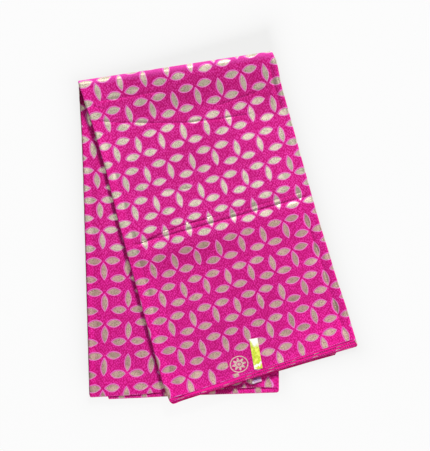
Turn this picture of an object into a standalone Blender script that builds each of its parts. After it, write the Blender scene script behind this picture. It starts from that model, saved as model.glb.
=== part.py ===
"""A six-yard length of wax-print cotton, folded in halves to a strip and folded once over.

Strip coordinates: u runs across the strip from its left edge, v runs along it from the top
fold (front half positive, rear half negative), and t is the depth through the sixteen plies,
from the inner face where the halves meet to the outer face.
"""
import math
from collections import namedtuple

import bmesh
import bpy
import numpy as np

MM = 0.001

# The folded strip
CLOTH_LENGTH = 5486 * MM
PLIES = 16
STRIP = CLOTH_LENGTH / PLIES
PILE = 8.0 * MM
WALL = 1.2 * MM
SEAM = 0.35 * MM
LAYERS_LOW = WALL + SEAM
LAYERS_HIGH = PILE - WALL - SEAM

# The top fold: the halves turn by these angles, and the fold's line halves the angle between them
FRONT_TURN = math.radians(15.7)
REAR_TURN = math.radians(1.8)
FOLD_TURN = (FRONT_TURN + REAR_TURN) / 2
SKEW = (FRONT_TURN - REAR_TURN) / 2
BEND = 3.0 * MM
CROWN = BEND + PILE
HALF_BEND = 6.4 * MM
CLOSING_RUN = 85 * MM
RESTING_GAP = 0.5 * MM

# The left end of the fold, from the middle of the heap
FOLD_CORNER = (-244.82 * MM, 255.25 * MM)

# Rolled left edge, spine on the right, and rounded ply corners
ROLL = 2.1 * MM
SPINE = PILE / 2
CUT_EDGE = 3.0 * MM
CORNER = 5.0 * MM
CORNER_CUT = 4.0 * MM

# Where the front half overhangs the rear half it sags to the floor over this run
SAG_RUN = 65 * MM

# How wide each half lies, by the distance along it from the fold's left end
Width = namedtuple("Width", "along width")
FRONT_WIDTHS = (
    Width(0 * MM, 344.0 * MM),
    Width(32 * MM, 344.0 * MM),
    Width(42 * MM, 342.2 * MM),
    Width(55 * MM, 345.0 * MM),
    Width(106 * MM, 342.0 * MM),
    Width(336 * MM, 341.5 * MM),
    Width(430 * MM, 343.5 * MM),
    Width(530 * MM, 347.0 * MM),
    Width(600 * MM, 348.0 * MM),
)
REAR_WIDTHS = (
    Width(0 * MM, 344.0 * MM),
    Width(300 * MM, 341.0 * MM),
    Width(480 * MM, 336.5 * MM),
    Width(600 * MM, 334.0 * MM),
)

# Where the selvedge of a ply or layer lies along each half, at the strip's left and right edge
Ends = namedtuple("Ends", "front_left front_right rear_left rear_right")
OUTER_ENDS = Ends(580.8 * MM, 566.6 * MM, 555.0 * MM, 551.0 * MM)
INNER_ENDS = Ends(581.7 * MM, 572.8 * MM, 556.6 * MM, 548.1 * MM)

# Hidden layers from the inner face outwards: left edge, reach into the spine, and ends
Layer = namedtuple("Layer", "left reach ends")
LAYERS = (
    Layer(3.4 * MM, 0.0 * MM, Ends(586.1 * MM, 576.4 * MM, 558.5 * MM, 553.0 * MM)),
    Layer(0.4 * MM, 1.9 * MM, Ends(591.4 * MM, 581.7 * MM, 561.5 * MM, 558.5 * MM)),
    Layer(0.9 * MM, 1.7 * MM, Ends(590.3 * MM, 579.0 * MM, 560.5 * MM, 557.0 * MM)),
    Layer(1.3 * MM, 1.5 * MM, Ends(587.7 * MM, 575.5 * MM, 558.5 * MM, 555.5 * MM)),
    Layer(1.9 * MM, 0.0 * MM, Ends(585.0 * MM, 571.9 * MM, 556.5 * MM, 553.0 * MM)),
)
REAR_END = max(layer.ends.rear_left for layer in LAYERS)

# Troughs pressed into the front face
MAIN_TROUGH = {"along": 301.4 * MM, "depth": 1.9 * MM, "spread": 9.5 * MM, "start": 14 * MM, "run": 28 * MM}
SPINE_TROUGH = {"inset": 13.5 * MM, "depth": 0.5 * MM, "spread": 5.0 * MM}
LEFT_TROUGH = {"inset": 16.0 * MM, "depth": 0.5 * MM, "spread": 6.0 * MM}

# Labels: width and length, middle on the strip, and turn
FOIL_LABEL = {"size": (14.4 * MM, 54 * MM), "middle": (167.8 * MM, 544.4 * MM), "turn": math.radians(6.4)}
EDGE_LABEL = {"size": (17.5 * MM, 14.5 * MM), "middle": (302.2 * MM, -534.5 * MM), "turn": math.radians(13.9)}
LABEL_THICKNESS = 0.4 * MM
LABEL_LIFT = 0.3 * MM

# Where the surfaces have their points: across each half, and along it beyond the top fold
BEND_STEPS = 12
ROLL_STEPS = 3
SPINE_STEPS = 8
LABEL_POINTS = (4, 7)
FRONT_ACROSS = np.array([9, 16, 24, 42, 90, 140, 185, 212, 234, 254, 272, 288, 303, 318, 324.5, 330, 335]) * MM
REAR_ACROSS = np.array([9, 60, 160, 260, 324.5, 335]) * MM
FRONT_ALONG = np.array([14, 24, 35, 48, 64, 82, 102, 135, 180, 230, 270, 286, 294.5, 301.4, 308.5,
                        317, 335, 380, 430, 480, 525, 555]) * MM
REAR_ALONG = np.array([14, 45, 100, 200, 300, 400, 480, 540]) * MM


def clear_scene():
    for item in list(bpy.data.objects):
        bpy.data.objects.remove(item, do_unlink=True)


def ease(x):
    """Rise from 0 to 1 with flat ends, for x from 0 to 1."""
    x = np.clip(x, 0.0, 1.0)
    return x * x * (3.0 - 2.0 * x)


def width_at(table, x):
    """Read the width at a distance along a half, easing from row to row."""
    along = np.array([row.along for row in table])
    width = np.array([row.width for row in table])
    row = np.clip(np.searchsorted(along, x, side="right") - 1, 0, len(along) - 2)
    share = ease((x - along[row]) / (along[row + 1] - along[row]))
    return width[row] + share * (width[row + 1] - width[row])


def strip_width(v):
    return np.where(v >= 0, width_at(FRONT_WIDTHS, v), width_at(REAR_WIDTHS, -v))


def front_relief(u, v):
    """Troughs of the front face: one across the strip, one beside the spine, one by the left edge."""
    away = np.abs(v - MAIN_TROUGH["along"]) / MAIN_TROUGH["spread"]
    across = MAIN_TROUGH["depth"] * np.exp(-away ** 1.5)
    across = across * ease((u - MAIN_TROUGH["start"]) / MAIN_TROUGH["run"])
    from_spine = (STRIP - SPINE_TROUGH["inset"] - u) / SPINE_TROUGH["spread"]
    from_left = (u - LEFT_TROUGH["inset"]) / LEFT_TROUGH["spread"]
    beside = SPINE_TROUGH["depth"] * np.exp(-from_spine ** 2) + LEFT_TROUGH["depth"] * np.exp(-from_left ** 2)
    return -across - beside * ease((v - CROWN) / CLOSING_RUN)


def place(u, v, t):
    """Carry strip coordinates to the folded heap.

    s runs along the fold's line and q square to it. Within the bend, q turns the ply round the
    fold's axis; past it the halves run flat. The front half closes down on the rear half, and
    where it overhangs the rear half's side or end it sags to the floor.
    """
    u, v, t = np.broadcast_arrays(u, v, t)
    q = v * math.cos(SKEW) - u * math.sin(SKEW)
    s = v * math.sin(SKEW) + u * math.cos(SKEW) * strip_width(v) / STRIP
    turn = np.clip(q / HALF_BEND, -1.0, 1.0) * math.pi / 2
    reach = BEND + t
    depth = HALF_BEND - reach * np.cos(turn) + np.maximum(np.abs(q) - HALF_BEND, 0.0)
    height = CROWN + reach * np.sin(turn)
    east = s * math.cos(FOLD_TURN) + depth * math.sin(FOLD_TURN)
    north = s * math.sin(FOLD_TURN) - depth * math.cos(FOLD_TURN)

    rear_across = east * math.cos(REAR_TURN) + north * math.sin(REAR_TURN)
    rear_along = east * math.sin(REAR_TURN) - north * math.cos(REAR_TURN)
    past_side = np.maximum(rear_across - strip_width(-np.abs(rear_along)), 0.0)
    past_end = np.maximum(rear_along - REAR_END, 0.0)
    sag = (PILE + RESTING_GAP) * ease(np.hypot(past_side, past_end) / SAG_RUN)
    closing = (2 * BEND - RESTING_GAP) * ease((q - CROWN) / CLOSING_RUN)
    pressed = np.clip((t - LAYERS_LOW) / (LAYERS_HIGH - LAYERS_LOW), 0.0, 1.0)
    height = height + np.where(q > 0, front_relief(u, v) * pressed - closing - sag, 0.0)
    return np.stack([east + FOLD_CORNER[0], north + FOLD_CORNER[1], height], axis=-1)


def end_line(ends, half, u):
    """Where a ply ends along the strip: straight from its left value to its right one, corners rounded."""
    left, right = (ends.front_left, ends.front_right) if half == "front" else (ends.rear_left, ends.rear_right)
    near = np.clip(np.minimum(u, STRIP - u) / CORNER, 0.0, 1.0)
    cut = CORNER_CUT * (1.0 - np.sqrt(1.0 - (1.0 - near) ** 2))
    length = left + (right - left) * u / STRIP - cut
    return length if half == "front" else -length


def fold_line(u, q):
    """The line along the strip that lies q from the fold's axis."""
    return (q + u * math.sin(SKEW)) / math.cos(SKEW)


def half_rows(u, ends, half):
    """Rows beyond the bend: parallel to the fold at first, square to the strip further on, then the end."""
    along, side = (FRONT_ALONG, 1.0) if half == "front" else (REAR_ALONG, -1.0)
    by_fold = fold_line(u, side * along[:, None])
    square = side * along[:, None] + 0.0 * u
    settled = ease((along[:, None] - CROWN) / (2 * CLOSING_RUN))
    rows = by_fold + (square - by_fold) * settled
    return np.vstack([rows, end_line(ends, half, u)])


def bend_rows(u):
    steps = np.linspace(-HALF_BEND, HALF_BEND, BEND_STEPS + 1)
    return fold_line(u, steps[:, None])


def arc(middle, radius, start, stop, steps):
    """Points of an arc in the plane of the strip's section."""
    angle = np.radians(np.linspace(start, stop, steps + 1))
    return np.column_stack([middle[0] + radius * np.cos(angle), middle[1] + radius * np.sin(angle)])


def wall_section(inset, across):
    """One face of the wall: up the rolled left edge, across the outer face, round the spine, back inside."""
    roll = arc((ROLL, PILE - ROLL), ROLL - inset, 180, 90, ROLL_STEPS)
    outer = np.column_stack([across, np.full(len(across), PILE - inset)])
    spine = arc((STRIP - SPINE, SPINE), SPINE - inset, 90, -90, SPINE_STEPS)
    back = np.append(across[::-1], CUT_EDGE)
    inner = np.column_stack([back, np.full(len(back), inset)])
    return np.vstack([roll, outer, spine, inner])


def grid_faces(rows, across, first=0, closed=False):
    """Triangles of a grid of points stored row by row, the last column joined to the first if closed.

    The diagonals all run one way, forward along the strip as they go left, so that neighbouring
    surfaces with the same rows and columns stay parallel.
    """
    columns = len(across)
    faces = []
    for r in range(rows - 1):
        for c in range(columns if closed else columns - 1):
            near = first + r * columns
            far = near + columns
            after = (c + 1) % columns
            if across[c] <= across[after]:
                faces += [(near + c, near + after, far + c), (near + after, far + after, far + c)]
            else:
                faces += [(near + c, near + after, far + after), (near + c, far + after, far + c)]
    return faces


def rim(rows, columns):
    """Numbers of the points round a grid's edge, in order."""
    return ([c for c in range(columns)]
            + [r * columns + columns - 1 for r in range(1, rows)]
            + [(rows - 1) * columns + c for c in range(columns - 2, -1, -1)]
            + [r * columns for r in range(rows - 2, 0, -1)])


def band(lower, upper):
    """Faces between two loops of as many points."""
    around = len(lower)
    return [(lower[i], lower[(i + 1) % around], upper[(i + 1) % around], upper[i]) for i in range(around)]


def make_object(name, points, faces, material):
    mesh = bpy.data.meshes.new(name)
    mesh.from_pydata(points.tolist(), [], faces)
    body = bmesh.new()
    body.from_mesh(mesh)
    bmesh.ops.recalc_face_normals(body, faces=body.faces[:])
    body.to_mesh(mesh)
    body.free()
    mesh.shade_smooth()
    mesh.set_sharp_from_angle(angle=math.radians(40))
    mesh.materials.append(material)
    item = bpy.data.objects.new(name, mesh)
    bpy.context.collection.objects.link(item)
    return item


def wall_solid(name, half, across, material):
    """The cloth wall: both faces of its section in one ring, carried along the rows and closed at both ends."""
    ring = np.vstack([wall_section(0.0, across), wall_section(WALL, across)[::-1]])
    u, t = ring[:, 0], ring[:, 1]
    rows = []
    for ends in (INNER_ENDS, OUTER_ENDS):
        if half == "front":
            rows.append(np.vstack([bend_rows(u), half_rows(u, ends, half)]))
        else:
            rows.append(np.vstack([fold_line(u, -HALF_BEND - SEAM), half_rows(u, ends, half)]))
    v = rows[0] + (rows[1] - rows[0]) * np.clip(t / PILE, 0.0, 1.0)
    count, around = v.shape
    faces = grid_faces(count, u, closed=True)
    for row in (0, count - 1):
        base = row * around
        faces += [(base + c, base + c + 1, base + around - 2 - c, base + around - 1 - c)
                  for c in range(around // 2 - 1)]
    return make_object(name, place(u, v, t).reshape(-1, 3), faces, material)


def layer_grid(layer, depth):
    """Grid of points of one layer at one depth: across it, and along it from the rear end to the front end."""
    u = np.concatenate([[layer.left], FRONT_ACROSS, [STRIP - SPINE + layer.reach]])
    rear = half_rows(u, layer.ends, "rear")
    v = np.vstack([rear[::-1], bend_rows(u), half_rows(u, layer.ends, "front")])
    return u, place(u, v, depth)


def hidden_solid(name, material):
    """The plies between the walls: a grid on top and below, and bands round the edge from layer to layer."""
    depths = np.linspace(LAYERS_LOW, LAYERS_HIGH, len(LAYERS) + 1)
    grids = []
    for number, layer in enumerate(LAYERS):
        for depth in depths[number:number + 2]:
            across, grid = layer_grid(layer, depth)
            grids.append(grid)
    rows, columns = grids[0].shape[:2]
    size = rows * columns
    edge = rim(rows, columns)
    sheets = [grids[0].reshape(-1, 3), grids[-1].reshape(-1, 3)]
    loops_between = [grid.reshape(-1, 3)[edge] for grid in grids[1:-1]]
    loops = [edge]
    loops += [list(range(2 * size + n * len(edge), 2 * size + (n + 1) * len(edge)))
              for n in range(len(loops_between))]
    loops.append([size + number for number in edge])
    faces = grid_faces(rows, across) + grid_faces(rows, across, first=size)
    for lower, upper in zip(loops, loops[1:]):
        faces += band(lower, upper)
    return make_object(name, np.vstack(sheets + loops_between), faces, material)


def label_plate(name, label, face_depth, outward, material):
    """A thin plate made from the points of the face below it, moved out by the lift and the thickness."""
    width, length = label["size"]
    across = np.linspace(-width / 2, width / 2, LABEL_POINTS[0])[None, :]
    along = np.linspace(-length / 2, length / 2, LABEL_POINTS[1])[:, None]
    turn = label["turn"]
    u = label["middle"][0] + across * math.cos(turn) - along * math.sin(turn)
    v = label["middle"][1] + across * math.sin(turn) + along * math.cos(turn)
    low = place(u, v, face_depth + outward * LABEL_LIFT)
    high = place(u, v, face_depth + outward * (LABEL_LIFT + LABEL_THICKNESS))
    rows, columns = u.shape
    size = rows * columns
    edge = rim(rows, columns)
    faces = grid_faces(rows, across[0]) + grid_faces(rows, across[0], first=size)
    faces += band(edge, [size + number for number in edge])
    return make_object(name, np.vstack([low.reshape(-1, 3), high.reshape(-1, 3)]), faces, material)


def finish(name, colour, roughness, metallic):
    material = bpy.data.materials.new(name)
    material.use_nodes = True
    shader = material.node_tree.nodes["Principled BSDF"]
    shader.inputs["Base Color"].default_value = (*colour, 1.0)
    shader.inputs["Roughness"].default_value = roughness
    shader.inputs["Metallic"].default_value = metallic
    return material


def main():
    clear_scene()
    printed = finish("printed_cotton", (0.62, 0.03, 0.23), 0.75, 0.0)
    plain = finish("plain_selvedge_cotton", (0.80, 0.03, 0.30), 0.8, 0.0)
    foil = finish("lime_foil", (0.62, 0.72, 0.05), 0.25, 0.8)
    silver = finish("silver_foil", (0.62, 0.62, 0.72), 0.25, 0.8)
    wall_solid("front_stretch", "front", FRONT_ACROSS, printed)
    wall_solid("rear_stretch", "rear", REAR_ACROSS, printed)
    hidden_solid("hidden_plies", plain)
    label_plate("foil_label", FOIL_LABEL, PILE, 1, foil)
    label_plate("edge_label", EDGE_LABEL, 0.0, -1, silver)


main()
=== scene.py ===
"""Looks of a six-yard length of wax-print cotton, folded to a sixteen-ply strip and folded once over.

Strip coordinates are those of the solids: u runs across the strip from its left edge, v along it
from the top fold (front half positive, rear half negative), and t through the plies from the inner
face, where the halves meet, to the outer face. All sizes are in metres.
"""
import math
from collections import namedtuple
from functools import partial

import bpy
import numpy as np
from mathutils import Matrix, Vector


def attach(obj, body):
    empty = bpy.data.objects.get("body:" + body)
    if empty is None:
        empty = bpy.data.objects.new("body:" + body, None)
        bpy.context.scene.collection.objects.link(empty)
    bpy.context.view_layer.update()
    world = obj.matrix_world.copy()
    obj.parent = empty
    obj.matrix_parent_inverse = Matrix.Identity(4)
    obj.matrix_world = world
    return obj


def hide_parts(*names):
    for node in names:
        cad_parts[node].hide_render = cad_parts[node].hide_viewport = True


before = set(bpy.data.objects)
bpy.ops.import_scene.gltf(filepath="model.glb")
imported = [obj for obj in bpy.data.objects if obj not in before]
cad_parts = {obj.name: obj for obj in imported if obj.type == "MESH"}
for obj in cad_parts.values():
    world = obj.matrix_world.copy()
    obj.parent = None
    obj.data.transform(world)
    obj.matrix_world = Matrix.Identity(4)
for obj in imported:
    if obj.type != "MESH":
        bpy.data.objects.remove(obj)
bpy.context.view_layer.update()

MM = 0.001

# The folded strip, as in the solids
PLIES = 16
STRIP = 5486 * MM / PLIES
PILE = 8.0 * MM
LAYERS_LOW = 1.55 * MM
LAYERS_HIGH = 6.45 * MM
FRONT_TURN = math.radians(15.7)
REAR_TURN = math.radians(1.8)
FOLD_TURN = (FRONT_TURN + REAR_TURN) / 2
SKEW = (FRONT_TURN - REAR_TURN) / 2
BEND = 3.0 * MM
CROWN = BEND + PILE
HALF_BEND = 6.4 * MM
CLOSING_RUN = 85 * MM
RESTING_GAP = 0.5 * MM
FOLD_CORNER = (-244.82 * MM, 255.25 * MM)
ROLL = 2.1 * MM
CORNER = 5.0 * MM
CORNER_CUT = 4.0 * MM
SAG_RUN = 65 * MM
REAR_END = 561.5 * MM
# The middles of the folds along the spine, the columns of a ply that is tucked in at the left, and the front
# half's way down on the rear half, which is steeper at first than that of the solids
SPINE = STRIP - PILE / 2
TUCKED = (9 * MM, 5 * MM, ROLL)
CLOSING = {"reach": 130 * MM, "power": 1.7, "soft_start": 0.16}

# The strip's width at places along each half, in millimetres: (place, width)
FRONT_WIDTHS = (
    (0, 344.0), (32, 344.0), (42, 342.2), (55, 345.0), (106, 342.0), (336, 341.5), (430, 343.5),
    (530, 347.0), (600, 348.0),
)
REAR_WIDTHS = ((0, 344.0), (300, 341.0), (480, 336.5), (600, 334.0))
# How far the left edge stands in (plus) or out (minus) of its straight line: (place along the strip, sway)
# in millimetres
LEFT_SWAY = (
    (-560, -2.0), (-300, -1.1), (-140, -0.8), (-81, -1.3), (-27, -3.0), (0, -3.4), (9, -3.0),
    (21, -1.9), (42, -1.6), (60, 0.0), (85, 0.9), (127, 1.3), (150, 1.8), (170, 1.5), (191, 0.7),
    (212, 0.2), (233, -0.5), (255, -1.3), (318, -1.9), (361, -1.9), (424, -2.3), (488, -2.8),
    (530, -3.2), (550, -3.4), (572, -1.4), (583, -0.4), (587, 1.0), (592, 4.0),
)
SWAY_REACH = 22 * MM
# The troughs of the front's face, as in the solids: across its middle, beside the spine and the left edge
MAIN_TROUGH = {"along": 301.4 * MM, "depth": 1.9 * MM, "spread": 9.5 * MM, "start": 14 * MM, "run": 28 * MM}
SPINE_TROUGH = {"inset": 13.5 * MM, "depth": 0.5 * MM, "spread": 5.0 * MM}
LEFT_TROUGH = {"inset": 16.0 * MM, "depth": 0.5 * MM, "spread": 6.0 * MM}

# Where past the fold, and how far inside the side edges, the front's finer creases and soft swells set in
FINE = {"at_edge": 0.15, "edge": 26 * MM, "start": 24 * MM, "run": 14 * MM}
SOFT = {"edge": 30 * MM, "start": 20 * MM, "run": 50 * MM}
# Height and length of the slight unevenness
FRONT_RIPPLE = (0.22 * MM, 75 * MM)
REAR_RIPPLE = (0.12 * MM, 60 * MM)
# Edges sharper than this are shaded as edges
SHARP = math.radians(50)

# Sixteen thin plies fill the pile: level 0 lies on the inner face and level 15 on the outer one
CLOTH = 0.30 * MM
LEVEL = PILE / PLIES
OUTER = PLIES - 1

# How much wider the far side of a crease is
FAR_SIDE = 2.0
# Creases of the printed face: points (u, v), depth, half width and the fade at the ends, in millimetres
Crease = namedtuple("Crease", "points depth width fade")
FRONT_CREASES = (
    Crease(((14, 301.4), (345, 301.4)), 1.2, 2.6, 16),
    Crease(((14, 301.6), (345, 301.6)), 0.65, 1.0, 16),
    Crease(((24, 304), (45, 299.4), (70, 295.4), (96, 292.4), (114, 290.9), (131, 291.4), (171, 292)),
           2.3, 1.5, 26),
    Crease(((200, 294), (250, 292.8), (345, 291)), 1.3, 1.3, 40),
    Crease(((190, 291), (250, 289), (345, 286)), 0.6, 2.6, 30),
    Crease(((4, 71.4), (22, 76.6), (53, 87.3), (72, 92), (93, 99.3), (125, 107.6), (151, 114.9), (174, 120.5),
            (192, 122.5), (217, 127.5), (245, 130.2), (270, 133.5)), 1.5, 1.4, 26),
    Crease(((22, 39.5), (49, 44), (70, 45.7), (90, 48.3), (108, 49.6), (130, 53)), 1.6, 1.4, 24),
    Crease(((6, 44), (14, 47.5), (19, 51), (30, 56.5)), 1.2, 1.5, 10),
    Crease(((221, 104), (248, 102.8), (278, 101.4), (295, 99.4), (316, 97.5)), 1.5, 1.5, 22),
    Crease(((304, 128), (318, 120), (332, 113)), 0.7, 2.0, 14),
    Crease(((35, 212), (62, 217), (106, 228), (141, 232)), 0.6, 2.6, 25),
    Crease(((203, 242), (234, 243), (265, 244)), 0.45, 2.6, 20),
    Crease(((10, 402), (60, 408), (120, 405)), 0.20, 4.0, 30),
    Crease(((200, 430), (270, 424), (330, 431)), 0.22, 5.0, 30),
    Crease(((60, 486), (120, 492), (210, 488)), 0.18, 5.0, 30),
)
# Creases that run along the strip: points (v, u)
LONG_CREASES = (
    Crease(((58, 329), (100, 329.5), (140, 330.5)), 2.6, 1.8, 20),
    Crease(((322, 318.5), (345, 321), (420, 324), (471, 323.2), (545, 325)), 2.8, 1.8, 30),
    Crease(((106, 15.5), (220, 16.5), (424, 16)), 0.45, 2.2, 40),
)
# Soft bumps and hollows of the printed face: middle across and along, reach across and along, and height,
# all in millimetres
FRONT_SWELLS = (
    (195, 101, 240, 34, -2.5), (172, 301, 320, 42, 1.8), (105, 320, 105, 30, 1.5), (308, 144, 36, 10, -1.2),
    (26, 594, 60, 26, 3.0), (250, 590, 110, 20, 0.8), (60, 190, 60, 55, 0.5), (250, 180, 70, 50, 0.4),
    (120, 400, 90, 60, -0.5), (280, 440, 80, 70, 0.5), (60, 520, 70, 50, 0.3),
)
# Soft folds of the rear half's upward face: points (u, v), then points (v, u)
REAR_FOLDS = (
    Crease(((16, -474), (50, -495), (90, -519)), 1.1, 8.0, 30),
)
REAR_CREASES = (
    Crease(((-540, 12), (-400, 9), (-250, 14), (-150, 11)), 0.40, 4.0, 40),
    Crease(((-530, 46), (-420, 40), (-300, 44)), 0.35, 6.0, 60),
    Crease(((-545, 92), (-470, 84), (-400, 80)), 0.30, 6.0, 50),
)

# Painted light (plus) and painted shade (minus) on the cloth, as broad shading and as shadows: middles and
# reaches as above, and the amount
FRONT_PAINTED_SHADING = (
    (172, 66, 112, 28, -0.62), (285, 106, 60, 30, -0.45), (322, 128, 22, 20, -0.30),
    (343, 26, 16, 26, 0.80), (110, 22, 60, 22, -0.45), (310, 60, 26, 22, -0.25), (51, 86, 24, 20, 0.25),
    (180, 160, 90, 40, -0.26), (150, 196, 70, 22, -0.18), (282, 362, 26, 40, -0.25), (160, 586, 7, 8, 1.60),
    (38, 321, 18, 10, 0.45), (10, 316, 14, 14, -0.40), (115, 342, 110, 26, -0.42),
    (170, 410, 60, 30, -0.12), (300, 225, 24, 70, 0.18), (262, 165, 50, 26, 0.25), (28, 560, 36, 40, 0.50),
    (90, 581, 100, 9, 0.55), (262, 572, 110, 9, 0.55), (278, 512, 44, 26, 0.40), (305, 552, 46, 26, 0.95),
    (215, 455, 60, 40, -0.20), (110, 500, 36, 34, -0.22),
)
# On the rear half: painted shadows along its left edge, at its top-left corner, under the front's edge and
# under the edge sticker, and painted light near its lower end
REAR_PAINTED_SHADING = (
    (250, -556, 60, 12, 0.60), (0, -300, 3.2, 500, -1.60), (295, -545, 11, 5, -2.60),
    (223, -552, 13, 3.5, -1.50), (244, -547, 13, 3.5, -1.50), (263, -541, 13, 3.5, -1.50),
    (318, -526, 15, 4, -0.50), (20, -250, 11, 400, -0.45), (5, -24, 14, 26, -1.50),
    (60, -520, 34, 14, 0.55), (80, -541, 22, 12, 0.40), (318, -540, 26, 30, 0.80),
    (240, -540, 60, 16, 0.60),
)

# Where each half's face ends at the left and the right edge, and how the selvedges there lift and curl
FRONT_LINE = (580.8 * MM, 566.6 * MM)
REAR_LINE = (550.0 * MM, 550.0 * MM)
END_LIFT = 1.5 * MM
END_RUN = 48 * MM
CURL = {"front": 0.5 * MM, "rear": 0.4 * MM, "run": 12 * MM, "edge": 24 * MM, "front_level": 6.7 * MM,
        "rear_level": 0.8 * MM}
# How far each ply reaches past its half's line, in millimetres, by level and at stations across the strip
FRONT_STATIONS = np.array([0, 25, 60, 95, 150, 230, 300, 306, 343]) * MM
FRONT_REACHES = {
    15: (0, 0, 0, 0, 0, 0, 0, 0, 0),
    14: (3.4, 3.8, 5.4, 6.4, 3, 2.6, 3.6, 3.6, 3.4),
    13: (5.6, 5.8, 7.4, 8.4, 4.9, 4.4, 5.4, 5.5, 5.4),
    12: (6.8, 6.8, 8.6, 9.6, 7.4, 7.4, 8.6, 8.6, 8.4),
    11: (7.4, 7.2, 9, 10, 9.2, 9.4, 10.6, 10.7, 10.6),
    10: (10.4, 9.4, 9.6, 10.2, 9.8, 10.4, 12, 12.2, 13),
    9: (10.6, 9.6, 9.8, 10.4, 10.4, 11.2, 13, 13.2, 14.4),
    8: (10.2, 9.4, 9.6, 10, 10, 11, 13, 13.2, 14.6),
    7: (6, 6.5, 7.5, 8, 8, 9, 10.4, 10.4, 11),
    6: (5, 5.5, 6.5, 7.5, 8.2, 8, 9.4, 9.4, 10),
    5: (4, 5, 7, 8.2, 9, 12, 14.5, 8, 8),
    4: (3, 4.6, 7.2, 9, 10.6, 13.6, 16.2, 7.5, 7),
    3: (2, 4.4, 7.2, 9.2, 11, 14.1, 16.8, 7, 6.5),
    2: (2.5, 4.4, 6.8, 8.8, 10.4, 13.2, 15.9, 7.5, 7),
    1: (3, 4, 5.5, 7, 8, 10, 12, 6.5, 6),
    0: (1, 1.6, 2.5, 3.4, 4, 5, 6.5, 5.5, 5),
}
REAR_STATIONS = np.array([0, 31.5, 34, 88, 133, 205, 306, 343]) * MM
REAR_REACHES = {
    0: (6.6, 6, 5.9, 4.3, 0.7, -0.1, -2.8, -1),
    1: (4.8, 4.4, 4.6, 3.4, 0, -1.2, -3.6, -2),
    2: (4.5, 5, 10.8, 10.2, 9, 7.6, 7.4, 7.2),
    3: (4, 4.5, 9.8, 9.4, 8.2, 6.8, 7, 6.8),
    4: (3, 3.6, 8.8, 9, 7.6, 8, 7.8, 7.6),
    5: (2.6, 3.4, 8.2, 8.3, 7, 7.2, 7, 7.2),
    6: (3.4, 3, 7, 7.6, 6.4, 6.6, 6.6, 6),
    7: (3, 2.6, 6.4, 6.8, 6, 6, 5.6, 5.4),
    8: (4, 3.8, 6, 6.4, 5.4, 5.6, 6.4, 6.2),
    9: (4.4, 4, 5.4, 6, 5, 5.2, 5, 5),
    10: (3.6, 3.4, 5, 5.2, 4.8, 5, 5.4, 5.2),
    11: (3, 3, 4.6, 5, 4.4, 4.4, 4.6, 4.2),
    12: (3.8, 3.6, 4.2, 4.4, 4, 4.2, 5, 4.8),
    13: (3.2, 3, 3.8, 4.2, 3.6, 3.8, 4, 3.8),
    14: (4.2, 3.8, 3.6, 3.8, 3, 3.4, 4.2, 4),
    15: (5, 4.6, 4.4, 3.6, 2.6, 2.4, 2, 1),
}
HALVES = {
    "front": (FRONT_LINE, FRONT_STATIONS, FRONT_REACHES),
    "rear": (REAR_LINE, REAR_STATIONS, REAR_REACHES),
}
# Where the left folds between inner plies lie, by the levels they join
LEFT_FOLDS = {(12, 11): 3.2 * MM, (4, 5): 3.4 * MM, (10, 13): 2.6 * MM, (2, 1): 3.0 * MM, (14, 9): 2.4 * MM}
# The plies inside: their levels in the order in which the cloth runs through them, and how far from the left
# edge the cloth starts and ends
INNER = {"levels": (3, 12, 11, 4, 5, 10, 13, 2, 1, 14, 9, 6), "first_across": 10 * MM,
         "last_across": 2.5 * MM}
END = {"levels": (7, 8), "first_across": 6 * MM, "last_across": 10 * MM}
# The slack of the plies inside: its share of their depth, where it starts and how it grows
SLACK = {"share": 0.26, "margin": 5 * MM, "left_run": 14 * MM, "spine_run": 10 * MM, "fold_start": 10 * MM,
         "fold_run": 20 * MM, "end_run": 24 * MM, "end_start": 0.2}
# The share of it that is lost at the front's end, there at its middle besides, and at the rear's end
SLACK_LOST = {"front": 0.6, "middle": 0.38, "left_run": 60 * MM, "spine_run": 50 * MM, "rear": 0.95}

# Where the mill's mark is printed on the front, without leaves round it
MARK = {"middle": (136.3 * MM, 554.3 * MM), "radius": (16.4 * MM, 14.6 * MM), "petals": 8.0, "petal": 0.60,
        "swing": 0.17, "heart": 0.24, "ring": 0.95}
BARE = {"middle": (137.9 * MM, 552.9 * MM), "half": (21.2 * MM, 15.5 * MM)}

# The leaf repeat: its period across and along the cloth, the second row's share of it, and the leaves about
# a point where they meet. Then the outline's width, and the gold's way off its place and inside the leaf
REPEAT_ACROSS = 82.6 * MM
REPEAT_ALONG = 53.4 * MM
SECOND_ROW = 0.585
LEAF_ACROSS = {"half_length": 13.7 * MM, "half_width": 7.1 * MM, "from_point": 16.4 * MM}
LEAF_ALONG = {"half_length": 15.4 * MM, "half_width": 6.3 * MM, "from_point": 18.1 * MM}
OUTLINE = 1.10 * MM
GOLD_SHIFT = 0.42 * MM
GOLD_INSET = 1.85 * MM
# How the print lies on each half, in millimetres across and along the print: sums of powers of the
# distances from the strip's left edge (U) and from the fold (V), in units of 100 mm: 1, U, V, UV, VV, UU,
# UVV and VVV
FRONT_PRINT = ((-24.5, 97.25, -2.23, 2.20, -0.39, 0.0, -0.313, 0.04),
               (-110.7, 2.11, 88.04, -0.573, 3.69, 0.07, 0.137, -0.368))
REAR_PRINT = ((-3.333, 99.877, -15.847, -0.142, 2.255, 0.0, 0.0, 0.0),
              (-106.869, 0.646, 105.202, 0.26, -1.218, 0.0, 0.0, 0.0))

# How the rear's print is drawn across and along: by how much, from where and over which run
Draw = namedtuple("Draw", "by start run")
FOLD_DRAW = (Draw(-3.9 * MM, 100 * MM, 60 * MM), Draw(9.4 * MM, 160 * MM, 150 * MM))
RIGHT_DRAW = (Draw(-9 * MM, 316 * MM, 20 * MM), Draw(3.7 * MM, 280 * MM, 25 * MM))
RIGHT_DRAW_START = -500 * MM
RIGHT_DRAW_RUN = 20 * MM
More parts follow.
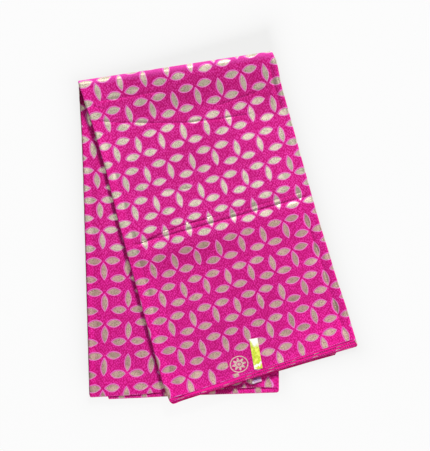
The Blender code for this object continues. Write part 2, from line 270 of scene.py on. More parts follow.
# How far the print of each inner ply is shifted across, by level, and along on the front and the rear half
PRINT_SHIFTS = np.array([0, 31, 15.2, 12, 57, 8, 66, 39, 21, 75, 5, 17.7, 48, 20.9, 60, 0]) * MM
PRINT_STARTS = (22.0 * MM, 16.5 * MM)

# Sizes in the print, and what fades with the distance from a place: (from, to) or (from, to, least, most)
HAND = {"size": 14 * MM, "drift": 1.6 * MM}
LEAVES_STOP = 0.3 * MM
GOLD_STOPS = 0.8 * MM
SOFT_EDGE = 0.3 * MM
SPECK = 1.8 * MM
GOLD_PATCH = 14 * MM
WAX = {"dot": 3.4 * MM, "mottle": 1.5 * MM, "patch": 16 * MM}
# Past the crease across the middle, by the distance to the face's end: where dots and gold are painted with
# less sheen
BELOW_CREASE = (257 * MM, 247 * MM)
# Painted light along the folded side edges: a wide band and a narrow one
PAINTED_SIDE_LIGHT_WIDE = (48 * MM, 22 * MM, 0.0, 0.35)
PAINTED_SIDE_LIGHT_EDGE = (15 * MM, 10 * MM, 0.0, 0.25)
SPINE_SPARED = 34 * MM
# Painted violet sheen and shade on the top fold's rim, by the distance from the fold
FOLD_RIM_PAINT = (11 * MM, 2 * MM, 0.0, 0.6)
LINE = {"dash": 4.0 * MM, "starts": (0.1 * MM, 0.5 * MM), "stops": (2.1 * MM, 1.6 * MM)}
THREAD = 0.42 * MM
THREAD_RELIEF = 0.12 * MM
# How metallic the gold is, and how rough bare cloth and gold are
GOLD_METAL = 0.76
ROUGHNESS = (0.80, 0.37)

# Stickers
FOIL_LABEL = {"size": (14.4 * MM, 54 * MM), "middle": (167.8 * MM, 544.4 * MM), "turn": math.radians(6.4)}
EDGE_LABEL = {"size": (17.5 * MM, 14.5 * MM), "middle": (301.6 * MM, -531.9 * MM), "turn": math.radians(13.9)}
LABEL_GRID = (21, 57)
FOIL = 0.12 * MM
OFF_CLOTH = 0.3 * MM

# Colours
SHEEN = (0.75, 0.6, 1.0, 1)
DYE = (0.580, 0.0080, 0.205, 1)
DOT = (0.778, 0.050, 0.385, 1)
DEEP = (0.420, 0.0028, 0.117, 1)
LILAC = (0.780, 0.120, 0.600, 1)
PALE_LILAC = (0.820, 0.270, 0.640, 1)
GOLD = (0.880, 0.820, 0.650, 1)
GOLD_GREEN = (0.520, 0.480, 0.330, 1)
GOLD_ROSE = (0.820, 0.650, 0.540, 1)
# Tints of painted light and painted shade, and of painted shade on the gold
PAINTED_LIGHT = (1.30, 1.00, 1.25, 1)
PAINTED_SHADE = (0.66, 0.45, 0.58, 1)
PAINTED_GOLD_SHADE = (0.72, 0.66, 0.66, 1)
# Tint of the gold past the crease across the middle: painted dimmer and rosier, as it reflects less light
# there
GOLD_BELOW_CREASE = (0.93, 0.735, 0.77, 1)
# Painted violet sheen and shade on the top fold's rim: less red, more green and blue than the dye
RIM_SHEEN_AND_SHADE = (0.520, 0.060, 0.330, 1)
UNDER_GOLD = (0.580, 0.110, 0.310, 1)
# The lighter dots past the crease across the middle; DOT above it carries more painted sheen
LOW_DOT = (0.808, 0.034, 0.376, 1)
PINK = (0.980, 0.012, 0.330, 1)
# Dark gaps between the dashes of the selvedge line: painted shadow of the ply above
SELVEDGE_SHADOW = (0.340, 0.005, 0.110, 1)
SELVEDGE_DOT = (0.840, 0.260, 0.640, 1)
LIME = (0.740, 0.900, 0.045, 1)
DARK_LIME = (0.500, 0.560, 0.030, 1)
BRIGHT_LIME = (0.960, 1.000, 0.160, 1)
# White on the lime sticker at both ends: painted glare
PAINTED_GLARE = (1.000, 1.000, 0.930, 1)
# The edge sticker's silver foil: the blue-lilac of its upper facet and the pale pink of its bent-down free
# end are painted reflections, and GLINT a painted glint
BLUE_FOIL = (0.300, 0.250, 0.660, 1)
PALE_BLUE_FOIL = (0.660, 0.600, 0.900, 1)
PINK_REFLECTION = (0.950, 0.580, 0.860, 1)
GLINT = (0.950, 0.900, 1.000, 1)
FLOOR_BASE = (0.020, 0.020, 0.020, 1)
FLOOR_GLOW = (1.000, 1.000, 1.000, 1)
FLOOR_SHADE = (0.885, 0.885, 0.880, 1)

# The floor, the light and the camera
PIXEL = 1.768 * MM
IMAGE = (430, 451)
ORIGIN_PIXEL = (218.47, 227.37)
CAMERA_HEIGHT = 4.0
FACE_HEIGHT = 14 * MM
SURROUND = 0.12
# Grid lines of the floor, fine near the cloth and ever coarser beyond, and its glow
NEAR_LINES = np.linspace(-0.45, 0.45, 151)
FAR_LINES = np.array([0.5, 0.6, 0.8, 1.2, 2.0, 3.5, 6.0])
GLOW = 0.946
# Painted soft shadow on the floor round the cloth: its reach, how much of it is lost to the south, from where
# and over which run
FLOOR_SHADOW = {"reach": 18 * MM, "loss": 0.65, "south": -0.24, "south_run": 0.06}
Lamp = namedtuple("Lamp", "name at aim size watts")
LAMPS = (
    Lamp("key", (2.36, 8.24, 5.15), (0, 0, 0), (2.2, 1.8), 1470),
    Lamp("overhead", (0.5, 0.95, 6.0), (0.3, 0.6, 0), (2.6, 2.4), 36),
    Lamp("fill", (0.8, -6.2, 0.9), (0, 0, 0), (3.0, 1.2), 290),
)


def ease(x):
    """Rise from 0 to 1 with flat ends, for x from 0 to 1."""
    x = np.clip(x, 0.0, 1.0)
    return x * x * (3.0 - 2.0 * x)


def width_at(table, x):
    """Width read from a table at a distance along a half, easing from row to row."""
    along, width = np.array(table).T * MM
    row = np.clip(np.searchsorted(along, x, side="right") - 1, 0, len(along) - 2)
    share = ease((x - along[row]) / (along[row + 1] - along[row]))
    return width[row] + share * (width[row + 1] - width[row])


def strip_width(v):
    """The strip's width at v, from the table of the half on which v lies."""
    return np.where(v >= 0, width_at(FRONT_WIDTHS, v), width_at(REAR_WIDTHS, -v))


def left_sway(u, v):
    """How far the left edge wanders from its straight line, dying away into the strip."""
    along, out = np.array(LEFT_SWAY).T * MM
    return np.interp(v, along, out) * (1.0 - ease(u / SWAY_REACH))


def crease_relief(creases, along, across):
    """Soft troughs along lines through points: depth times exp(-|x|^1.3), with x the distance from the line
    over the half width, gentler on the far side, fading in and out at the ends."""
    relief = np.zeros(np.broadcast(along, across).shape)
    for crease in creases:
        points = np.array(crease.points) * MM
        fade = crease.fade * MM
        line = np.interp(along, points[:, 0], points[:, 1])
        ends = ease((along - points[0, 0]) / fade + 0.5) * ease((points[-1, 0] - along) / fade + 0.5)
        away = np.abs(across - line) / (crease.width * MM) / np.where(across > line, FAR_SIDE, 1.0)
        relief = relief - crease.depth * MM * ends * np.exp(-away ** 1.3)
    return relief


def swell_relief(swells, u, v):
    """Soft hills: height times exp(-x^2 - y^2), with x and y the distances over the reaches."""
    relief = np.zeros(np.broadcast(u, v).shape)
    for across, along, reach_across, reach_along, height in swells:
        x = (u / MM - across) / reach_across
        y = (v / MM - along) / reach_along
        relief = relief + height * MM * np.exp(-x * x - y * y)
    return relief


def ripple(u, v, height, length):
    """Slight unevenness: three crossing sine waves about as long as length."""
    x, y = u / length * 2 * math.pi, v / length * 2 * math.pi
    waves = np.sin(0.9 * x + 0.5 * y + 1.1) + np.sin(0.6 * y - 1.1 * x + 2.3)
    return height * (waves + np.sin(1.2 * y + 0.3 * x + 0.4)) / 3.0


def inside_edges(u, run):
    """0 at the strip's side edges, rising to 1 over the run."""
    return ease(np.minimum(u, STRIP - u) / run)


def face_end(line, u):
    """Where the face of a half ends: on a straight line from the left edge to the right one."""
    return line[0] + (line[1] - line[0]) * u / STRIP


def front_relief(u, v):
    """The front half's face: the solids' troughs, finer creases, swells, unevenness, the lift at its end."""
    main, spine, left = MAIN_TROUGH, SPINE_TROUGH, LEFT_TROUGH
    away = np.abs(v - main["along"]) / main["spread"]
    across = main["depth"] * np.exp(-away ** 1.5) * ease((u - main["start"]) / main["run"])
    from_spine = (STRIP - spine["inset"] - u) / spine["spread"]
    from_left = (u - left["inset"]) / left["spread"]
    beside = spine["depth"] * np.exp(-from_spine ** 2) + left["depth"] * np.exp(-from_left ** 2)
    settled = ease((v - CROWN) / CLOSING_RUN)
    lifted = END_LIFT * (1.0 - ease((face_end(FRONT_LINE, u) - v) / END_RUN))
    inner = FINE["at_edge"] + (1.0 - FINE["at_edge"]) * inside_edges(u, FINE["edge"])
    fine = crease_relief(FRONT_CREASES, u, v) * inner + crease_relief(LONG_CREASES, v, u)
    soft = swell_relief(FRONT_SWELLS, u, v) * inside_edges(u, SOFT["edge"]) + ripple(u, v, *FRONT_RIPPLE)
    relief = -across - beside * settled + fine * ease((v - FINE["start"]) / FINE["run"])
    return relief + soft * ease((v - SOFT["start"]) / SOFT["run"]) + lifted


def rear_relief(u, v):
    """The rear half's upward face: soft folds along the strip and a little unevenness, all sunk into it."""
    folds = crease_relief(REAR_FOLDS, u, v) + crease_relief(REAR_CREASES, v, u)
    return folds + ripple(u, v, *REAR_RIPPLE) - REAR_RIPPLE[0]


def end_curl(u, v, t):
    """How far the selvedges of either half's two upper plies stand up over their last few millimetres, less
    at the side edges."""
    front = CURL["front"] * (1.0 - ease((face_end(FRONT_LINE, u) - v) / CURL["run"]))
    rear = CURL["rear"] * (1.0 - ease((face_end(REAR_LINE, u) + v) / CURL["run"]))
    front = front * ease((t - CURL["front_level"]) / LEVEL)
    rear = rear * (1.0 - ease((t - CURL["rear_level"]) / LEVEL))
    return (front + rear) * inside_edges(u, CURL["edge"])


def way_down(x):
    """The share of the way down from the fold: a power of 1 - x, ever flatter, with a soft start."""
    x = np.clip(x, 0.0, 1.0)
    return (1.0 - (1.0 - x) ** CLOSING["power"]) * ease(x / CLOSING["soft_start"])


def past_fold(u, v):
    """How far a point lies from the fold's axis, square to it: plus on the front half."""
    return v * math.cos(SKEW) - u * math.sin(SKEW)


def place(u, v, t):
    """Carry strip coordinates to the folded heap.

    s runs along the fold's line and q square to it. Within the bend, q turns the ply round the
    fold's axis; past it the halves run flat. The front half closes down on the rear half, and
    where it overhangs the rear half's side or end it sags to the floor. The relief of a face
    dies away through the plies below it.
    """
    u, v, t = np.broadcast_arrays(u, v, t)
    q = past_fold(u, v)
    s = v * math.sin(SKEW) + (u * strip_width(v) / STRIP + left_sway(u, v)) * math.cos(SKEW)
    turn = np.clip(q / HALF_BEND, -1.0, 1.0) * math.pi / 2
    reach = BEND + t
    depth = HALF_BEND - reach * np.cos(turn) + np.maximum(np.abs(q) - HALF_BEND, 0.0)
    height = CROWN + reach * np.sin(turn)
    east = s * math.cos(FOLD_TURN) + depth * math.sin(FOLD_TURN)
    north = s * math.sin(FOLD_TURN) - depth * math.cos(FOLD_TURN)

    rear_across = east * math.cos(REAR_TURN) + north * math.sin(REAR_TURN)
    rear_along = east * math.sin(REAR_TURN) - north * math.cos(REAR_TURN)
    past_side = np.maximum(rear_across - strip_width(-np.abs(rear_along)), 0.0)
    past_end = np.maximum(rear_along - REAR_END, 0.0)
    sag = (PILE + RESTING_GAP) * ease(np.hypot(past_side, past_end) / SAG_RUN)
    closing = (2 * BEND - RESTING_GAP) * way_down((q - HALF_BEND) / CLOSING["reach"])
    pressed = np.clip((t - LAYERS_LOW) / (LAYERS_HIGH - LAYERS_LOW), 0.0, 1.0)
    rear_pressed = 1.0 - np.clip(t / LAYERS_HIGH, 0.0, 1.0)
    front = front_relief(u, v) * pressed - closing - sag
    rear = rear_relief(u, v) * rear_pressed * ease((-q - CROWN) / CLOSING_RUN)
    height = height + np.where(q > 0, front, rear) + end_curl(u, v, t)
    return np.stack([east + FOLD_CORNER[0], north + FOLD_CORNER[1], height], axis=-1)


def fold_line(u, q):
    """The line along the strip that lies q from the fold's axis."""
    return (q + u * math.sin(SKEW)) / math.cos(SKEW)


def end_line(half, level, u):
    """Where a ply ends along its half: the face's line plus the ply's own reach, with rounded corners.
    Between two levels, as round a folded edge, their ends are mixed."""
    line, stations, reaches = HALVES[half]
    u_in = np.clip(u, 0.0, STRIP)
    by_level = np.array([np.interp(u_in, stations, np.array(reaches[ply]) * MM) for ply in range(PLIES)])
    low = np.clip(np.floor(level).astype(int), 0, OUTER)
    high = np.minimum(low + 1, OUTER)
    column = np.arange(len(u))
    share = level - low
    past = by_level[low, column] * (1 - share) + by_level[high, column] * share
    near = np.clip(np.minimum(u_in, STRIP - u_in) / CORNER, 0.0, 1.0)
    cut = CORNER_CUT * (1.0 - np.sqrt(1.0 - (1.0 - near) ** 2))
    return face_end(line, u_in) + past - cut


# A stretch of cloth in the strip's section: its points, the way its printed side faces, and its level
Section = namedtuple("Section", "u t facing_u facing_t level")


def flat_run(level, across):
    """A ply lying flat at its level: printed side outwards on odd levels and inwards on even ones."""
    across = np.asarray(across, float)
    side = 1.0 if level % 2 else -1.0
    zeros = np.zeros(len(across))
    return Section(across, zeros + (level + 0.5) * LEVEL, zeros, zeros + side, zeros + level)


def folded_edge(first, second, middle, steps, on_right):
    """A folded edge: half a circle from one level to another, about u = middle. Its printed side faces out
    of the fold or into it, as that of its first level does."""
    way = np.linspace(-1.0, 1.0, steps + 1)
    radius = (second - first) / 2 * LEVEL
    bulge = abs(radius) * np.cos(way * math.pi / 2) * (1 if on_right else -1)
    rise = radius * np.sin(way * math.pi / 2)
    t = ((first + second) / 2 + 0.5) * LEVEL + rise
    outward = 1.0 if (first % 2 == 1) == (second < first) else -1.0
    away_u, away_t = outward * bulge / abs(radius), outward * rise / abs(radius)
    return Section(middle + bulge, t, away_u, away_t, first + (second - first) * (way + 1) / 2)


def joined(*parts):
    """One section from several stretches, without repeating the points where they meet."""
    fields = []
    for name in Section._fields:
        pieces = [getattr(part, name) for part in parts]
        fields.append(np.concatenate([piece[:-1] for piece in pieces[:-1]] + [pieces[-1]]))
    return Section(*fields)


def run_round(section):
    """Distance of each point of a section from its first one, along the cloth."""
    return np.concatenate([[0.0], np.cumsum(np.hypot(np.diff(section.u), np.diff(section.t)))])


def half_rows(half, section, by_fold, free_share):
    """Rows of a half from the fold on, and where its plies end: near the fold the rows are parallel to it,
    then square to the strip, then they share out what is left to each ply's end."""
    side = 1 if half == "front" else -1
    end = end_line(half, section.level, section.u)
    square = side * by_fold[:, None] + 0.0 * section.u
    skewed = fold_line(section.u, side * by_fold[:, None])
    settled = ease((by_fold[:, None] - CROWN) / (2 * CLOSING_RUN))
    last = side * by_fold[-1]
    free = last + (side * end - last) * free_share[:, None]
    return np.vstack([skewed + (square - skewed) * settled, free]), end


def grid_quads(rows, columns):
    """Quads of a grid of points stored row by row."""
    near = (np.arange(rows - 1)[:, None] * columns + np.arange(columns - 1)[None, :]).ravel()
    return np.column_stack([near, near + columns, near + columns + 1, near + 1])


def rim_loop(rows, columns):
    """Numbers of the points round a grid's edge, in order."""
    first = np.arange(columns)
    right = np.arange(1, rows) * columns + columns - 1
    last = (rows - 1) * columns + np.arange(columns - 2, -1, -1)
    left = np.arange(rows - 2, 0, -1) * columns
    return np.concatenate([first, right, last, left])


def put(name, data):
    """Put an object with this mesh, light or camera into the scene."""
    item = bpy.data.objects.new(name, data)
    bpy.context.scene.collection.objects.link(item)
    return item


def make_shell(name, top, back, materials, maps, flip=False):
    """A closed shell between two like grids of points: the top in the first material, the back and the rim
    in the last one. maps holds a pair of numbers a point for each UV map's name. flip turns the faces round,
    for a top that looks the other way."""
    rows, columns = top.shape[:2]
    size = rows * columns
    faces = grid_quads(rows, columns)
    loop = rim_loop(rows, columns)
    after = np.roll(loop, -1)
    rim = np.column_stack([loop, after, after + size, loop + size])
    quads = np.vstack([faces, faces[:, ::-1] + size, rim])
    if flip:
        quads = quads[:, ::-1]
    slots = np.full(len(quads), len(materials) - 1)
    slots[:len(faces)] = 0
    points = np.vstack([top.reshape(-1, 3), back.reshape(-1, 3)])
    mesh = bpy.data.meshes.new(name)
    mesh.from_pydata(points.tolist(), [], quads.tolist())
    mesh.polygons.foreach_set("material_index", slots.astype(np.int32))
    for map_name, pairs in maps.items():
        both = np.tile(pairs.reshape(-1, 2), (2, 1))
        layer = mesh.uv_layers.new(name=map_name)
        layer.uv.foreach_set("vector", both[quads.ravel()].astype(np.float32).ravel())
    for material in materials:
        mesh.materials.append(material)
    mesh.validate()
    mesh.shade_smooth()
    mesh.set_sharp_from_angle(angle=SHARP)
    return put(name, mesh)


def cloth_piece(name, section, v, repeat, to_end, materials, slack=0.0, mark=None):
    """A shell of cloth: its section carried along the rows v, printed side first. The map "print" holds the
    print's coordinates, "selvedge" the distances from the nearest side edge and from the selvedge, the third
    map the amount of painted light and shade and the distance from the top fold, and "mark" the mill's mark's
    coordinates."""
    sides = []
    for side in (1.0, -1.0):
        u = section.u + side * section.facing_u * CLOTH / 2
        t = section.t + side * section.facing_t * CLOTH / 2 + slack
        sides.append(place(u, v, t))
    from_side = np.clip(np.minimum(section.u, STRIP - section.u + SPINE_SPARED), 0.0, None)
    painted_shadings = [swell_relief(swells, section.u, v) for swells in (FRONT_PAINTED_SHADING, REAR_PAINTED_SHADING)]
    maps = {
        "print": repeat,
        "selvedge": np.stack([from_side + 0.0 * v, to_end], axis=-1),
        "painted_shading": np.stack([np.where(v > 0, *painted_shadings) / MM, np.abs(past_fold(section.u, v))], axis=-1),
    }
    if mark is not None:
        maps["mark"] = mark
    return make_shell(name, *sides, materials, maps)


def cloth_along(u, v, t):
    """Distance along the cloth: v on the flat half, and the length of the arc round the fold in the bend."""
    round_fold = (np.clip(past_fold(u, v) / HALF_BEND, -1.0, 1.0) - 1.0) * math.pi / 2 * (BEND + t)
    return np.maximum(v, fold_line(u, HALF_BEND)) + round_fold


def print_place(powers, u, v):
    """Print coordinates of a point of a half, across and along, from where a trefoil's leaves meet."""
    across, along = u / (100 * MM), v / (100 * MM)
    terms = (1.0, across, along, across * along, along ** 2, across ** 2, across * along ** 2, along ** 3)
    return np.stack([sum(factor * term for factor, term in zip(row, terms)) * MM for row in powers], axis=-1)


# Columns of the grids: the spots across the strip
FACE_EDGE = np.array([2.1, 4, 6.5, 9, 11, 13, 15, 17, 19, 21.5, 24.5, 28]) * MM
FACE_RIGHT = np.array([311, 314, 317, 320, 322.5, 325, 327, 329, 331, 333, 335, 337]) * MM
FACE_ACROSS = np.concatenate([FACE_EDGE, np.arange(32, 308, 5) * MM, FACE_RIGHT, [SPINE]])
REAR_ACROSS = np.concatenate([FACE_EDGE, np.arange(34, 306, 8) * MM, FACE_RIGHT, [SPINE]])
PLY_COLUMNS = np.array([2.1, 6, 10, 14, 18, 23, 31.5, 34, 45, 65, 90, 115, 140, 165, 190, 206, 222, 238, 254,
                        270, 286, 300, 310, 318, 324, 329, 334]) * MM
PLY_ACROSS = np.concatenate([PLY_COLUMNS, [SPINE]])
# Rows of the grids, from the fold on: the front face's lie closer together where creases cross it, and are
# given as spans with their start, end and step
FACE_SPANS = (
    (9, 38, 2.4), (38, 64, 1.2), (64, 143, 1.0), (143, 204, 3.2), (204, 246, 1.8), (246, 278, 2.9),
    (278, 284, 1.5), (284, 307, 0.9), (307, 313, 1.5), (313, 400, 3.5), (400, 436, 2.4), (436, 521, 3.4),
)
FACE_ALONG = np.concatenate([np.arange(*span) for span in FACE_SPANS]) * MM
PLY_ALONG = np.array([9, 14, 20, 28, 38, 50, 62, 71, 80, 92, 104, 120, 140, 165, 190, 212, 235, 260, 276, 286,
                      294.5, 301.4, 308.5, 317, 335, 365, 400, 430, 460, 490, 520]) * MM
REAR_ALONG = np.arange(9.0, 521.0, 4.0) * MM
# Then shares of what is left to the end, and the rows within the bend
FACE_TAIL = np.linspace(0.0, 1.0, 31)[1:]
PLY_TAIL = np.array([0.2, 0.4, 0.6, 0.75, 0.86, 0.93, 0.97, 1.0])
BEND_PLACES = np.linspace(-HALF_BEND, HALF_BEND, 25)


def bend_rows(u, places):
    """Rows within the bend: lines parallel to the fold's axis, at these distances from it."""
    return fold_line(u, places[:, None])


def wrap_section(outer, inner, outer_steps, inner_steps):
    """The section of the ply that wraps a half: out of the pile, round the left edge to the outer face, round
    the spine to the inner face, and round the left edge into the pile again."""
    return joined(
        flat_run(8, TUCKED),
        folded_edge(8, OUTER, ROLL, outer_steps, on_right=False),
        flat_run(OUTER, outer),
        folded_edge(OUTER, 0, SPINE, 12, on_right=True),
        flat_run(0, inner[::-1]),
        folded_edge(0, 3, ROLL, inner_steps, on_right=False),
        flat_run(3, TUCKED[::-1]),
    )


def build_front_cloth(materials):
    """The ply that wraps the front half and the top fold. The printed face that shows is the outer one."""
    section = wrap_section(FACE_ACROSS, PLY_ACROSS, 10, 5)
    beyond, end = half_rows("front", section, FACE_ALONG, FACE_TAIL)
    v = np.vstack([bend_rows(section.u, BEND_PLACES), beyond])
    around = run_round(section)
    start = np.argmax(section.level == OUTER)
    around = (around - around[start] + section.u[start]) * strip_width(v) / STRIP
    repeat = print_place(FRONT_PRINT, around, cloth_along(section.u, v, section.t))
    mark = np.stack([around, v], axis=-1)
    return cloth_piece("front_cloth", section, v, repeat, end - v, materials, mark=mark)


def build_rear_cloth(materials):
    """The same ply on the rear half: its upward face is the inner one, and the outer one lies on the floor.
    Its print is drawn aside near the fold and at its right end."""
    section = wrap_section(PLY_ACROSS, REAR_ACROSS, 8, 6)
    beyond, end = half_rows("rear", section, REAR_ALONG, FACE_TAIL)
    v = np.vstack([beyond[::-1], bend_rows(section.u, BEND_PLACES[:1])])
    around = run_round(section)
    start = np.argmax(section.level == 0)
    around = (section.u[start] + around[start] - around) * strip_width(v) / STRIP
    repeat = print_place(REAR_PRINT, around, -v)
    near_end = ease((RIGHT_DRAW_START - v) / RIGHT_DRAW_RUN)
    for axis, (fold, right) in enumerate(zip(FOLD_DRAW, RIGHT_DRAW)):
        repeat[..., axis] += fold.by * ease((fold.start + v) / fold.run)
        repeat[..., axis] += right.by * ease((around - right.start) / right.run) * near_end
    return cloth_piece("rear_cloth", section, v, repeat, end + v, materials)


def ply_section(levels, first_across, last_across):
    """The section of a cloth that runs over several levels in turn, folded at the spine and the left edge."""
    parts = []
    left = first_across
    for level, following in zip(levels, (*levels[1:], None)):
        rightwards = level % 2 == 1
        if not rightwards:
            left = last_across if following is None else LEFT_FOLDS[level, following]
        run = np.concatenate([[left], PLY_ACROSS[PLY_ACROSS > left + 1 * MM]])
        parts.append(flat_run(level, run if rightwards else run[::-1]))
        if following is not None:
            middle, steps = (SPINE, 8) if rightwards else (left, 5)
            parts.append(folded_edge(level, following, middle, steps, on_right=rightwards))
    return joined(*parts)


def build_inner_plies(name, levels, first_across, last_across, materials):
    """Plies inside the pile, in one run of cloth folded to and fro. They lie a little slack, less so at the
    ends, so that the creases of the faces have room."""
    section = ply_section(levels, first_across, last_across)
    u, from_spine = section.u, STRIP - section.u
    front, front_end = half_rows("front", section, PLY_ALONG, PLY_TAIL)
    rear, rear_end = half_rows("rear", section, PLY_ALONG, PLY_TAIL)
    v = np.vstack([rear[::-1], bend_rows(u, BEND_PLACES), front])
    to_end = np.where(v > 0, front_end - v, rear_end + v)
    inside = ease((u - SLACK["margin"]) / SLACK["left_run"])
    inside = inside * ease((from_spine - SLACK["margin"]) / SLACK["spine_run"])
    room = SLACK["share"] * inside * ease((np.abs(past_fold(u, v)) - SLACK["fold_start"]) / SLACK["fold_run"])
    middle = ease(u / SLACK_LOST["left_run"]) * ease(from_spine / SLACK_LOST["spine_run"])
    at_end = 1.0 - ease(to_end / SLACK["end_run"] - SLACK["end_start"])
    lost = np.where(v > 0, SLACK_LOST["front"] + SLACK_LOST["middle"] * middle, SLACK_LOST["rear"])
    room = room * (1.0 - lost * at_end)
    slack = np.where(v > 0, -room * section.t, room * (PILE - section.t))
    across = u - np.interp(section.level, np.arange(PLIES), PRINT_SHIFTS)
    along = 8 * REPEAT_ALONG + np.where(v > 0, *PRINT_STARTS) - to_end
    repeat = np.stack([across + 0.0 * v, along], axis=-1)
    return cloth_piece(name, section, v, repeat, to_end, materials, slack=slack)


def build_label(name, label, face_depth, outward, rise, material):
    """A foil sticker on a face: a grid on its turned rectangle, lifted off the cloth by a hair and by its own
    rise, with its back a foil's thickness below."""
    width, length = label["size"]
    across = np.linspace(-width / 2, width / 2, LABEL_GRID[0])[None, :]
    along = np.linspace(-length / 2, length / 2, LABEL_GRID[1])[:, None]
    turn = label["turn"]
    u = label["middle"][0] + across * math.cos(turn) - along * math.sin(turn)
    v = label["middle"][1] + across * math.sin(turn) + along * math.cos(turn)
    spots = np.broadcast_arrays(across / width + 0.5, along / length + 0.5)
    lift = OFF_CLOTH + rise(*spots)
    top = place(u, v, face_depth + outward * (lift + FOIL))
    back = place(u, v, face_depth + outward * lift)
    return make_shell(name, top, back, [material], {"sticker": np.stack(spots, axis=-1)}, flip=outward < 0)


def foil_rise(across, along):
    """Shallow crossing waves, stronger towards the sticker's lower end."""
    waves = np.sin(along * 17 + across * 2) * np.cos(across * 4) + np.sin(along * 7 + across * 5)
    return 0.09 * MM * (waves / 2 + 1) * (0.5 + along)


def edge_rise(across, along):
    """Flat under the front half, then standing off the cloth, and bent down along its free end."""
    free = ease((0.75 - along) / 0.45)
    return 2.6 * MM * free - 1.5 * MM * ease((0.28 - along) / 0.28) + 0.25 * MM * np.sin(across * 6) * free


# Short words for shader nodes: without a tree, they work in the tree of the sockets they are given

def join(socket, value):
    """Set a socket to a value, or link another node's socket to it."""
    if isinstance(value, bpy.types.NodeSocket):
        socket.id_data.links.new(value, socket)
    else:
        socket.default_value = value


def add(tree, kind, values=None, **settings):
    """Add a shader node with its settings, and set or link the inputs that values names."""
    made = tree.nodes.new("ShaderNode" + kind)
    for name, value in settings.items():
        setattr(made, name, value)
    for socket, value in (values or {}).items():
        join(made.inputs[socket], value)
    return made


def maths(operation, *values):
    """A Math node of this operation."""
    tree = next(value.id_data for value in values if isinstance(value, bpy.types.NodeSocket))
    return add(tree, "Math", dict(enumerate(values)), operation=operation).outputs[0]


plus = partial(maths, "ADD")
minus = partial(maths, "SUBTRACT")
times = partial(maths, "MULTIPLY")
larger = partial(maths, "MAXIMUM")
# A value times a factor, and more added
scaled = partial(maths, "MULTIPLY_ADD")


def ramp(value, low, high, to_low=0.0, to_high=1.0):
    """Smooth step of a value from one range to another, clamped."""
    inputs = {"Value": value, "From Min": low, "From Max": high, "To Min": to_low, "To Max": to_high}
    return add(value.id_data, "MapRange", inputs, interpolation_type="SMOOTHSTEP").outputs["Result"]


def mixed(share, first, second, blend="MIX"):
    """Mix two colours."""
    made = add(share.id_data, "Mix", {0: share}, data_type="RGBA", blend_type=blend)
    join(made.inputs[6], first)
    join(made.inputs[7], second)
    return made.outputs[2]


def tinted(share, colour, factor):
    """Multiply a colour by a factor, by a share."""
    return mixed(share, colour, factor, "MULTIPLY")


def noise(spot, scale, detail, roughness=0.5, dimensions="2D", output="Fac"):
    """A cloudy texture."""
    inputs = {"Vector": spot, "Scale": scale, "Detail": detail, "Roughness": roughness}
    return add(spot.id_data, "TexNoise", inputs, noise_dimensions=dimensions).outputs[output]


def split(spot):
    """The x and the y of a place."""
    return add(spot.id_data, "SeparateXYZ", {0: spot}).outputs[:2]


def map_place(tree, name):
    """The place in a UV map."""
    return add(tree, "UVMap", uv_map=name).outputs[0]


def finish(principled, **values):
    """Set or link the inputs of a material's shader."""
    for name, value in values.items():
        join(principled.inputs[name.replace("_", " ")], value)


def fine_relief(height, strength, distance):
    """Let a height shade a material as fine relief."""
    inputs = {"Height": height, "Strength": strength, "Distance": distance}
    return add(height.id_data, "Bump", inputs).outputs[0]


def group(name, inputs, outputs):
    """An empty shader node group with its sockets: {name: kind}."""
    tree = bpy.data.node_groups.new(name, "ShaderNodeTree")
    for in_out, sockets in (("INPUT", inputs), ("OUTPUT", outputs)):
        for socket, kind in sockets.items():
            tree.interface.new_socket(socket, in_out=in_out, socket_type="NodeSocket" + kind)
    return tree, tree.nodes.new("NodeGroupInput").outputs, tree.nodes.new("NodeGroupOutput").inputs


def place_group(tree, made_group, **values):
    """Place a shader node group in a material and set or link its inputs. Gives its outputs."""
    made = tree.nodes.new("ShaderNodeGroup")
    made.node_tree = made_group
    for socket, value in values.items():
        join(made.inputs[socket], value)
    return made.outputs


def leaf_distance(x, y, leaf):
    """How far a point is outside a leaf that lies along x. A leaf is where two circles overlap, so this is
    the distance from the centre of the farther circle less the radius."""
    radius = (leaf["half_length"] ** 2 + leaf["half_width"] ** 2) / (2 * leaf["half_width"])
    lowered = plus(y, radius - leaf["half_width"])
    return minus(maths("SQRT", plus(times(x, x), times(lowered, lowered))), radius)


def leaf_repeat_group():
    """Distance from the nearest leaf, below 0 inside one. Two trefoils repeat: one has leaves to both sides
    and one along the cloth; the other, half a repeat across and a second row along, points back."""
    tree, entry, out = group("leaf_repeat", {"Place": "Vector"}, {"Distance": "Float"})
    x, y = split(entry["Place"])
    half_across, half_along = REPEAT_ACROSS / 2, REPEAT_ALONG / 2
    folded_x = maths("PINGPONG", x, half_across)
    second_x = minus(half_across, folded_x)
    second_y = minus(y, SECOND_ROW * REPEAT_ALONG)
    distances = []
    for trefoil_x, trefoil_y, way in ((folded_x, y, 1), (second_x, second_y, -1)):
        beside = minus(trefoil_x, LEAF_ACROSS["from_point"])
        distances.append(leaf_distance(beside, maths("PINGPONG", trefoil_y, half_along), LEAF_ACROSS))
        shifted = minus(trefoil_y, way * LEAF_ALONG["from_point"])
        distances.append(leaf_distance(maths("PINGPONG", shifted, half_along), trefoil_x, LEAF_ALONG))
    nearest = distances[0]
    for other in distances[1:]:
        nearest = maths("MINIMUM", nearest, other)
    join(out["Distance"], nearest)
    return tree


